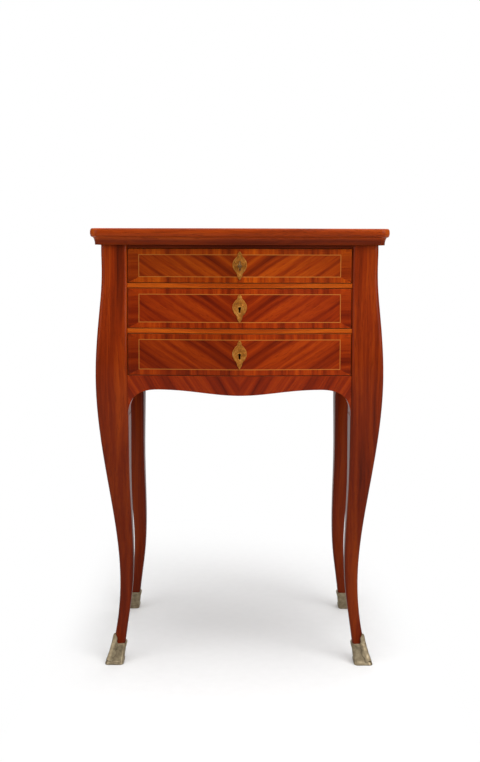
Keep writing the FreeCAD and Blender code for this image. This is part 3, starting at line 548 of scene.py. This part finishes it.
def worn_iron(name, dark, light):
    """Iron with fine scratches, browned with old rust in places."""
    finish = Finish(name, Metallic=1.0)
    scratch = finish.noise(finish.x * 900, finish.y * 90, finish.z * 900, detail=3.0)
    rust = finish.cloud(240, detail=4.0).rising(0.5, 0.72)
    grey = scratch.ramp((0.3, dark), (0.7, light))
    finish.give("Base Color", (rust * 0.7).between(grey, RUST))
    finish.give("Metallic", 1 - rust * 0.6)
    finish.give("Roughness", 0.34 + scratch * 0.15 + rust * 0.3)
    eased = finish.eased_edges(0.0004)[0]
    finish.relief(scratch - rust * 0.5, strength=0.15, distance=0.0003, eased=eased)
    return finish


RUST = shown(88, 60, 42)
iron = worn_iron("worn_iron", shown(78, 76, 74), shown(150, 147, 142))
dress(iron, "top_screws")

# Drawers. Bowed fronts of solid wood, veneered with two matched leaves in a crossbanded
# border with a pale string, dovetailed to sides and back of thin oak, with a bottom that
# slides into grooves.

DRAWER_TONES = {
    1: (shown(95, 25, 2), shown(147, 51, 4), shown(186, 80, 9)),
    2: (shown(86, 18, 1), shown(137, 40, 3), shown(168, 61, 7)),
    3: (shown(84, 18, 1), shown(134, 40, 4), shown(171, 63, 8)),
}
# The left leaf of each drawer front is darkened as painted shade, for light that falls from the right.
SHADED_LEAF = {1: 0.76, 2: 0.85, 3: 0.76}
DRAWER_BAND = (0.0165, (0.85, 0.78, 0.7, 1), 0.0085, (1.18, 1.24, 0.85, 1))
OAK = (shown(112, 78, 44), shown(168, 128, 82), shown(198, 160, 110))
oak_across = plain_wood("oak_across", OAK, "X")
oak_deep = plain_wood("oak_deep", OAK, "Y")
for number, tones in DRAWER_TONES.items():
    drawer = f"drawer_{number}"
    veneered(f"{drawer}_front_veneer", f"{drawer}_front", "-Y", tones, turn=34, ground=GROUND,
             border=DRAWER_BAND, shaded_leaf=SHADED_LEAF[number])
    dress(oak_deep, f"{drawer}_side_right", f"{drawer}_side_left")
    dress(oak_across, f"{drawer}_back", f"{drawer}_bottom")

# Locks. Sheet brass boxes let into the back of each drawer front and screwed there, with
# an iron bolt that rises into the rail above.

LOCK_BRASS = (shown(96, 76, 44), shown(166, 136, 84), shown(204, 176, 120))
lock_brass = cast_brass("lock_brass", *LOCK_BRASS, depth=0.003)
for number in DRAWER_TONES:
    dress(lock_brass, f"drawer_{number}_lock")
    dress(iron, f"drawer_{number}_bolt")

# Keyhole plates. Thin cast brass shields with a rolled rim, scrolls, a shell above and a
# husk below the keyhole, chased and dulled. They are pinned to the drawer fronts, and the
# pins and the locks' screws are of the same brass.


def drawn(name, lines, thickness, edge, lift, closed=True, filled=False):
    """A shape drawn flat with smooth lines, each point with its own weight, made a mesh."""
    bpy.ops.object.select_all(action="DESELECT")
    bpy.ops.curve.primitive_bezier_curve_add()
    shape = bpy.context.object
    shape.name = name
    curve = shape.data
    curve.splines.clear()
    curve.dimensions = "2D" if filled else "3D"
    curve.fill_mode = "BOTH" if filled else "FULL"
    curve.resolution_u = 8
    curve.extrude = thickness / 2
    curve.bevel_depth = edge
    curve.bevel_resolution = 2
    curve.use_fill_caps = not closed
    for line in lines:
        spline = curve.splines.new("BEZIER")
        spline.use_cyclic_u = closed
        spline.bezier_points.add(len(line) - 1)
        for point, (across, up, weight, kind) in zip(spline.bezier_points, line):
            point.co = (across / 1000, up / 1000, 0)
            point.radius = weight
            point.handle_left_type = point.handle_right_type = kind
    bpy.ops.object.convert(target="MESH")
    shape = bpy.context.object
    shape.location.z = lift
    settle()
    close_seams()
    return shape


def resized(line, wide, tall):
    """A drawn line made wider and taller about the keyhole, or mirrored where a size is below 0."""
    return [(across * wide, up * tall, weight, kind) for across, up, weight, kind in line]


def both_sides(half):
    """A closed outline from the points of its right half, top to bottom."""
    return half + resized(half[-2:0:-1], -1, 1)


def drop(across, up, length, width, turn):
    """A raised drop, narrower towards its outer end, lying on the plate. It starts as a ball
    1 mm across, so its sizes are in millimetres."""
    bpy.ops.object.select_all(action="DESELECT")
    bpy.ops.mesh.primitive_uv_sphere_add(segments=16, ring_count=10, radius=0.0005)
    shape = bpy.context.object
    for level in (-0.0001, 0.0001, 0.0002, 0.0003, 0.0004):
        choose(shape, "vertices", lambda point: point.co.z > level)
        bpy.ops.transform.resize(value=(DROP_TAPER, DROP_TAPER, 1), center_override=(0, 0, 0))
    bpy.ops.object.mode_set(mode="OBJECT")
    shape.scale = (width, DROP_HEIGHT * 2, length)
    shape.rotation_euler = (-math.pi / 2, 0, math.radians(-turn))
    shape.location = (across / 1000, up / 1000, PLATE_FACE)
    settle()
    return shape


PLATE_HALF = [
    (0, 22, 1, "VECTOR"), (2.6, 18.9, 1, "AUTO"), (3.3, 15.4, 1, "AUTO"), (7.3, 11, 1, "AUTO"),
    (11, 2.2, 1, "AUTO"), (8.4, -6.6, 1, "AUTO"), (4.4, -11.9, 1, "AUTO"), (3.3, -16.3, 1, "AUTO"),
    (0, -22, 1, "VECTOR"),
]
KEYHOLE_HALF = [
    (0, 2.5, 1, "AUTO"), (2.35, 0.9, 1, "AUTO"), (1.6, -2.0, 1, "VECTOR"), (1.6, -7.2, 1, "VECTOR"),
    (0, -7.2, 1, "VECTOR"),
]
UPPER_SCROLL = [
    (4.6, 7.2, 0.5, "AUTO"), (5.6, 8.6, 0.75, "AUTO"), (7.0, 7.6, 0.9, "AUTO"), (6.6, 5.2, 1.0, "AUTO"),
    (4.2, 4.6, 1.1, "AUTO"), (2.6, 8.4, 1.15, "AUTO"), (2.5, 12.6, 0.9, "AUTO"), (1.2, 15.4, 0.5, "AUTO"),
]
LOWER_SCROLL = [
    (5.4, 0.4, 0.5, "AUTO"), (6.4, -0.8, 0.75, "AUTO"), (7.9, 0.4, 0.9, "AUTO"), (7.6, 2.8, 1.0, "AUTO"),
    (9.2, 0.6, 1.1, "AUTO"), (7.0, -5.2, 1.15, "AUTO"), (3.6, -9.8, 0.9, "AUTO"), (1.4, -14.6, 0.5, "AUTO"),
]
PLATE_THICKNESS, PLATE_EDGE = 0.0004, 0.0003
PLATE_MIDDLE, PLATE_FACE, PLATE_RAISED = 0.0005, 0.0010, 0.0011
RIM_WIRE, KEYHOLE_WIRE, SCROLL_WIRE = 0.00062, 0.0004, 0.0007
DROP_TAPER, DROP_HEIGHT = 0.88, 0.75
SHELL_MIDDLE, SHELL_REACH = 15.6, 2.1
SHELL_LENGTH, SHELL_WIDTH = 4.4, 1.5
SHELL_TURNS = (-64, -32, 0, 32, 64)
HUSK_WIDTH = 1.7
HUSK_DROPS = ((0, -17.4, 6.0, 0), (1.3, -15.2, 4.2, -24), (-1.3, -15.2, 4.2, 24))
PLATE_BRASS = (shown(96, 52, 14), shown(188, 118, 42), shown(224, 166, 84))
BESIDE_KEYHOLE = 0.012

outline, keyhole = both_sides(PLATE_HALF), both_sides(KEYHOLE_HALF)
inner_rim, keyhole_rim = resized(outline, 0.93, 0.955), resized(keyhole, 1.2, 1.09)
scrolls = [UPPER_SCROLL, resized(UPPER_SCROLL, -1, 1), LOWER_SCROLL, resized(LOWER_SCROLL, -1, 1)]
plate_parts = [
    drawn("plate_ground", [outline, keyhole], PLATE_THICKNESS, PLATE_EDGE, PLATE_MIDDLE, filled=True),
    drawn("plate_rim", [inner_rim], 0, RIM_WIRE, PLATE_FACE),
    drawn("plate_keyhole_rim", [keyhole_rim], 0, KEYHOLE_WIRE, PLATE_RAISED),
    drawn("plate_scrolls", scrolls, 0, SCROLL_WIRE, PLATE_RAISED, closed=False),
]
for turn in SHELL_TURNS:
    aside = SHELL_REACH * math.sin(math.radians(turn))
    above = SHELL_REACH * math.cos(math.radians(turn))
    plate_parts.append(drop(aside, SHELL_MIDDLE + above, SHELL_LENGTH, SHELL_WIDTH, turn))
for across, up, length, turn in HUSK_DROPS:
    plate_parts.append(drop(across, up, length, HUSK_WIDTH, turn))
pick_up(*plate_parts)
bpy.ops.object.join()
plate = plate_parts[0].data

plate_brass = cast_brass("plate_brass", *PLATE_BRASS, depth=0.0016)
for number in DRAWER_TONES:
    piece = copied(plate, f"drawer_{number}_plate")
    plate_low, plate_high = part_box(f"drawer_{number}_escutcheon")
    middle = (plate_low.z + plate_high.z) / 2
    front = nodes[f"drawer_{number}_front"]
    for point in piece.data.vertices:
        across, up, out = point.co
        behind = front.ray_cast((BESIDE_KEYHOLE, -1, middle + up), (0, 1, 0))[1]
        point.co = (across, behind.y - out, middle + up)
    put_on(piece, plate_brass, f"drawer_{number}", "brass", f"drawer_{number}_escutcheon", edge_angle=50)
    dress(plate_brass, f"drawer_{number}_fixings")
bpy.data.objects.remove(plate_parts[0])

# Key. Steel, with a pin, a bit and a turned collar, and a ring bow with a three-lobed wire
# brazed inside it and a turned bead at each end. It is left in the upper lock.

RING_RADIUS, RING_WIRE = 0.0062, 0.0014
BOW_LOBES, BOW_WIRE = 3, 0.00065
LOBE, LOBE_WEIGHT = 4.5, 1.0
WAIST, WAIST_WEIGHT = 1.7, 0.75
COLLAR_BEAD = (0.0080, 0.0019, 0.0020)
END_BEAD = (-0.0094, 0.0009, 0.0026)
BEAD_STEPS = ((0.22, 1.45), (0.22, 1.18), (0.26, 1.0), (0.22, 0.85), (0.22, 0.69))

key_steel = worn_iron("key_steel", shown(92, 64, 36), shown(156, 118, 72))
dress(key_steel, "key")
key_turn = next(joint for joint in frame["record"]["behaviour"]["joints"] if joint["name"] == "key_turn")
key_z = key_turn["pos_m"][2]
ring_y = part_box("key")[0].y + RING_RADIUS + RING_WIRE
trefoil = []
for step in range(2 * BOW_LOBES):
    angle = math.radians(180 / BOW_LOBES * step + 90)
    distance, weight = (WAIST, WAIST_WEIGHT) if step % 2 else (LOBE, LOBE_WEIGHT)
    trefoil.append((distance * math.cos(angle), distance * math.sin(angle), weight, "AUTO"))
key_wire = drawn("key_bow_rings", [trefoil], 0, BOW_WIRE, 0)
key_wire.rotation_euler = (math.pi / 2, 0, math.pi / 2)
key_wire.location = (0, ring_y, key_z)
bow_parts = [key_wire]
for from_ring, radius, length in (COLLAR_BEAD, END_BEAD):
    bead_y = ring_y + from_ring
    bpy.ops.object.select_all(action="DESELECT")
    bpy.ops.mesh.primitive_circle_add(vertices=24, radius=radius, fill_type="NGON",
                                      location=(0, bead_y, key_z), rotation=(math.pi / 2, 0, 0))
    bead = bpy.context.object
    settle()
    bpy.ops.object.mode_set(mode="EDIT")
    bpy.ops.mesh.select_all(action="SELECT")
    for advance, widening in BEAD_STEPS:
        bpy.ops.mesh.extrude_region_move(TRANSFORM_OT_translate={"value": (0, advance * length, 0)})
        bpy.ops.transform.resize(value=(widening, 1, widening), center_override=(0, bead_y, key_z))
    face_outwards()
    bow_parts.append(bead)
pick_up(*bow_parts)
settle()
bpy.ops.object.join()
put_on(key_wire, key_steel, "key", "iron", edge_angle=60)

# Studio. A white floor that keeps the table's soft shadow and fades into a white
# background, a broad lamp overhead, two softer ones in front and one behind. The camera
# stands a little below the table's top and looks slightly down.


def ray_kinds(shade):
    """1 for rays from the camera, for mirrored rays and for rays through glass, and 0 for others."""
    kinds = ("Is Camera Ray", "Is Glossy Ray", "Is Transmission Ray")
    return [shade.node("ShaderNodeLightPath", {}, kind) for kind in kinds]


FLOOR_RADIUS = 9
PAPER_DARK, PAPER_LIGHT = (0.84, 0.84, 0.84, 1), (0.88, 0.88, 0.88, 1)
BOUNCED_GREY = (0.5, 0.5, 0.5, 1)
WHITE = (1, 1, 1, 1)
GLOW_UNDER_TABLE = 0.06
MIRRORED_FLOOR = 0.3

bpy.ops.object.select_all(action="DESELECT")
bpy.ops.mesh.primitive_circle_add(vertices=64, radius=FLOOR_RADIUS, fill_type="NGON")
floor = bpy.context.object
floor.name = "floor"
paper = Finish("white_paper", Roughness=1.0, Specular_IOR_Level=0.0)
mottle = paper.noise(paper.x * 60, paper.y * 60, 0.0)
floor_seen, floor_mirrored, floor_through = ray_kinds(mottle)
paper.give("Base Color", floor_seen.between(BOUNCED_GREY, mottle.between(PAPER_DARK, PAPER_LIGHT)))
# The floor glows white of itself, as painted light: weakly under the table, so that the rendered shadow
# shows there, and fully beside and around it, where it paints over the shadow that the lamps cast.
spread = paper.x * paper.x + paper.y * paper.y
away = spread.rising(0.06, 0.6).most(abs(paper.x).rising(0.2, 0.33))
glow = GLOW_UNDER_TABLE + (1 - GLOW_UNDER_TABLE) * away
bare_floor = Shade(paper.tree, paper.shader.outputs[0])
white_floor = mottle.node("ShaderNodeEmission", {"Color": WHITE, "Strength": 1.0})
whitened = floor_seen.most(floor_through).most(floor_mirrored * MIRRORED_FLOOR) * glow
floor_surface = mottle.node("ShaderNodeMixShader", {0: whitened, 1: bare_floor, 2: white_floor})
paper.tree.links.new(floor_surface.socket, paper.tree.nodes["Material Output"].inputs["Surface"])
floor.data.materials.append(paper.material)

ROOM_LIGHT = 0.4
MIRRORED_LOW, MIRRORED_RISE = 0.03, 0.75
world = bpy.data.worlds.new("studio")
world.use_nodes = True
bpy.context.scene.world = world
room = Shade(world.node_tree)
room_seen, room_mirrored, room_through = ray_kinds(room)
way = room.node("ShaderNodeTexCoord", {}, "Object")
height = room.node("ShaderNodeSeparateXYZ", {"Vector": way}, "Z")
mirrored_room = room_mirrored * (MIRRORED_LOW + MIRRORED_RISE * height.rising(0.25, 0.8))
brightness = room_seen.most(room_through).most(mirrored_room).most((1 - room_mirrored) * ROOM_LIGHT)
background = world.node_tree.nodes["Background"]
world.node_tree.links.new(brightness.socket, background.inputs["Strength"])
background.inputs["Color"].default_value = WHITE

LAMPS = (
    ("overhead_lamp", (0.15, -0.35, 2.5), (0.0, 0.0, 0.3), 1.8, 41),
    ("right_lamp", (1.9, -2.3, 1.7), (0.0, 0.0, 0.45), 2.4, 50),
    ("left_lamp", (-2.1, -2.1, 1.5), (0.0, 0.0, 0.45), 2.4, 26),
    ("back_lamp", (0.3, 2.3, 1.9), (0.0, 0.0, 0.4), 2.4, 22),
)
for name, place, aim, size, watts in LAMPS:
    light = bpy.data.lights.new(name, "AREA")
    light.size = size
    light.energy = watts
    lamp = bpy.data.objects.new(name, light)
    bpy.context.scene.collection.objects.link(lamp)
    lamp.location = place
    ahead = [end - start for start, end in zip(place, aim)]
    lamp.rotation_euler = (math.atan2(math.hypot(ahead[0], ahead[1]), -ahead[2]), 0,
                           math.atan2(-ahead[0], ahead[1]))

CAMERA_PLACE = (0.0003, -1.776, 0.665)
CAMERA_DOWN = math.radians(7.05)
CAMERA_ROLL = math.radians(-0.15)
CAMERA_SENSOR, CAMERA_LENS = 36, 49.46
camera = bpy.data.objects.new("camera", bpy.data.cameras.new("camera"))
bpy.context.scene.collection.objects.link(camera)
camera.location = CAMERA_PLACE
camera.rotation_euler = (math.pi / 2 - CAMERA_DOWN, CAMERA_ROLL, 0)
camera.data.sensor_width = CAMERA_SENSOR
camera.data.lens = CAMERA_LENS
bpy.context.scene.camera = camera
bpy.context.scene.view_settings.view_transform = "Standard"
